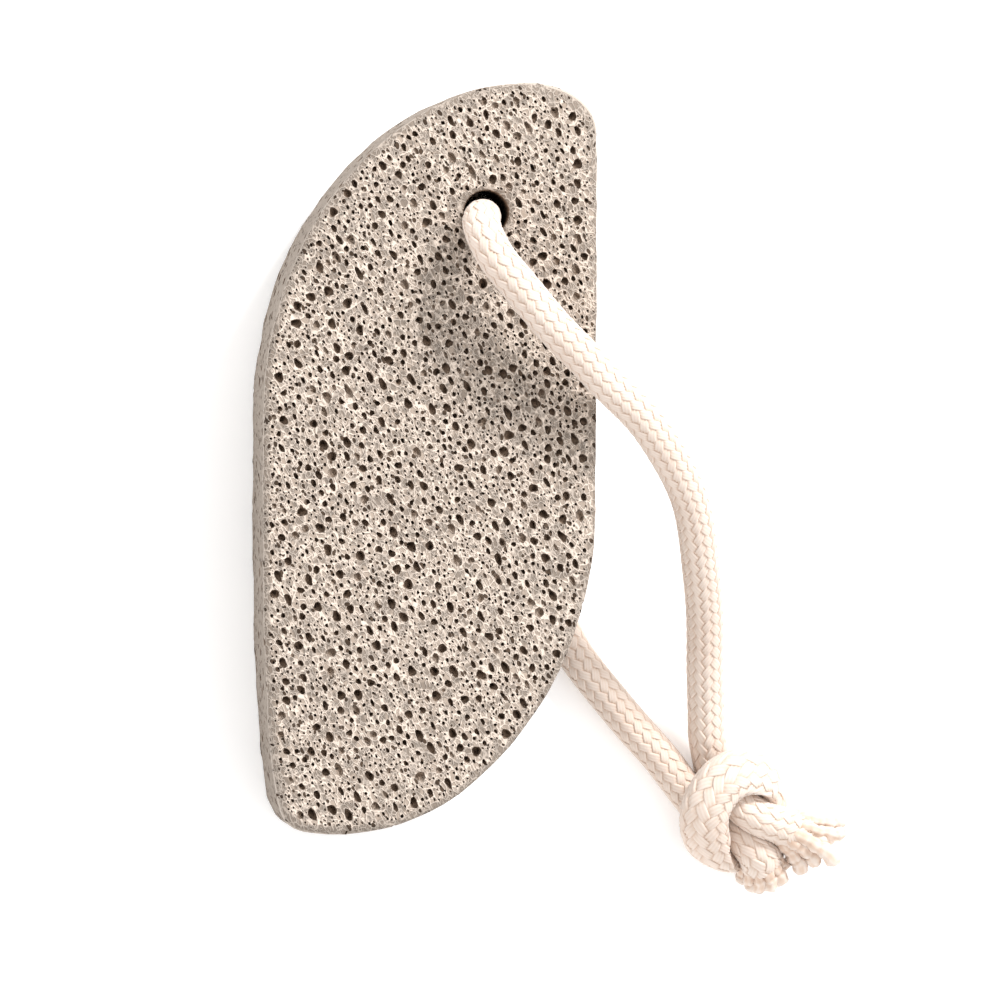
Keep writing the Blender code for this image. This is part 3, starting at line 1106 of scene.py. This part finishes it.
def straight_side_highlight(places):
    """The tone of a painted highlight on the front face, along its straight side."""
    return np.clip((places[:, 0] - HALF_WIDTH + HIGHLIGHT_BAND) / HIGHLIGHT_FADE, 0.0, 1.0)


def add_front(shell, slab, rng):
    pores = Pores(11, GRAIN_DEG, GRAIN_STRETCH)
    margin = slab.face_margin(slab.rounding, HOLE_RADIUS + FRONT_RIM)
    pores.strew(3200, 0.17, 0.74, 4.2, over_face, margin, tries=60)
    extra = pores.thin_out(over_face(pores.rng, 9000), margin, 0.55)
    edge_loop = (slab.edge + slab.into * slab.rounding[:, None])[::-1]
    hole_loop = HOLE + hole_circle() * (HOLE_RADIUS + FRONT_RIM)
    shell.patch([edge_loop, hole_loop], extra, pores.loops, on_front, rng, straight_side_highlight)


def add_back(shell, slab, rng):
    """The back face, seen from the front and then turned over."""
    pores = Pores(12, -GRAIN_DEG, GRAIN_STRETCH)
    margin = slab.face_margin(BACK_ROUNDING, HOLE_RADIUS + BACK_RIM)
    pores.strew(1500, 0.2, 0.78, 2.8, over_face, margin)
    extra = pores.thin_out(over_face(pores.rng, 5000), margin, 0.9)
    under = Shell()
    edge_loop = (slab.edge + slab.into * BACK_ROUNDING)[::-1]
    hole_loop = HOLE + hole_circle() * (HOLE_RADIUS + BACK_RIM)
    under.patch([edge_loop, hole_loop], extra, pores.loops, on_back, rng)
    flipped = np.concatenate(under.triangles)[:, ::-1]
    shell.add(np.concatenate(under.points), np.concatenate(under.tones), flipped)


def add_side(shell, slab, rng):
    """The side wall, with rows of points round the front edge's arc."""
    pores = Pores(13, SIDE_GRAIN_DEG, SIDE_GRAIN_STRETCH)

    def over_wall(rng, n):
        return np.column_stack([rng.uniform(0, slab.around, n), rng.uniform(0, DROP, n)])

    pores.strew(780, 0.2, 0.78, 2.2, over_wall, slab.side_margin)
    shell.roughness, shell.sharp = 0.3, True
    extra = pores.thin_out(over_wall(pores.rng, 5000), slab.side_margin, 1.1)
    rows = [(k * slab.step, share * FRONT_ARC) for share in (0.35, 0.7, 1.0) for k in range(1, slab.count)]
    extra = np.vstack([extra, pores.thin_out(np.array(rows), slab.side_margin, 0.2)])
    heights = DROP * np.arange(1, WALL_STEPS) / WALL_STEPS
    top = np.column_stack([np.arange(slab.count + 1) * slab.step, np.zeros(slab.count + 1)])
    low = top[::-1] + (0.0, DROP)
    left = np.column_stack([np.zeros(len(heights)), heights[::-1]])
    right = np.column_stack([np.full(len(heights), slab.around), heights])
    shell.patch([np.concatenate([top, right, low, left])], extra, pores.loops, slab.on_side, rng)


def add_hole(shell):
    """The hole for the rope, from its front mouth to its back one, with painted shade darkest inside."""
    quarter = np.linspace(0, math.pi / 2, 5)
    front = [(FRONT_RIM * (1 - math.sin(a)), THICKNESS - FRONT_RIM * (1 - math.cos(a))) for a in quarter]
    bore = [(0.0, h) for h in (20.0, 16.0, 12.0, 8.0, 5.0)]
    back = [(BACK_RIM * (1 - math.sin(a)), BACK_RIM * (1 - math.cos(a))) for a in quarter[::-1]]
    tones = [0.6, 0.2, -0.3, -1.0, -1.6] + [-2.0] * len(bore) + [-1.5, -1.0, -0.5, 0.0, 0.0]
    circle = hole_circle()
    rings = [
        np.column_stack([HOLE + circle * (HOLE_RADIUS + wider), np.full(HOLE_SIDES, h)])
        for wider, h in front + bore + back
    ]
    shell.rings(rings, np.array(tones))


def unevenness(points):
    """A slow wander of the surface, under a tenth of a millimetre each way."""
    x, y, z = points.T
    wander = np.stack([
        np.sin(0.31 * y + 0.22 * z + 1.0) + 0.6 * np.sin(0.83 * y - 0.5 * z),
        np.sin(0.27 * x + 0.35 * z + 2.0) + 0.6 * np.sin(0.71 * x + 0.6 * z + 1.0),
        np.sin(0.37 * x + 0.21 * y) + 0.7 * np.sin(0.61 * x - 0.43 * y + 2.0),
    ], 1)
    return UNEVENNESS * wander


def weld(mesh):
    """Joins the patches where their edges meet."""
    body = bmesh.new()
    body.from_mesh(mesh)
    bmesh.ops.remove_doubles(body, verts=body.verts, dist=WELD_DISTANCE)
    body.to_mesh(mesh)
    body.free()


def make_stone():
    slab, shell = Slab(), Shell()
    rng = np.random.default_rng(4)
    add_front(shell, slab, rng)
    add_back(shell, slab, rng)
    add_side(shell, slab, rng)
    add_hole(shell)
    points = np.concatenate(shell.points)
    points = points + unevenness(points)
    stone = mesh_from("pumice_stone", on_stone(points) * MM, np.concatenate(shell.triangles))
    add_attribute(stone, "tone", np.concatenate(shell.tones))
    weld(stone.data)
    stone.data.set_sharp_from_angle(angle=math.radians(SHARP_DEG))
    stone.data.materials.append(pumice_material())
    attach(stone, "root")
    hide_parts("stone")


make_camera()
make_stage()
make_stone()
make_ropes()
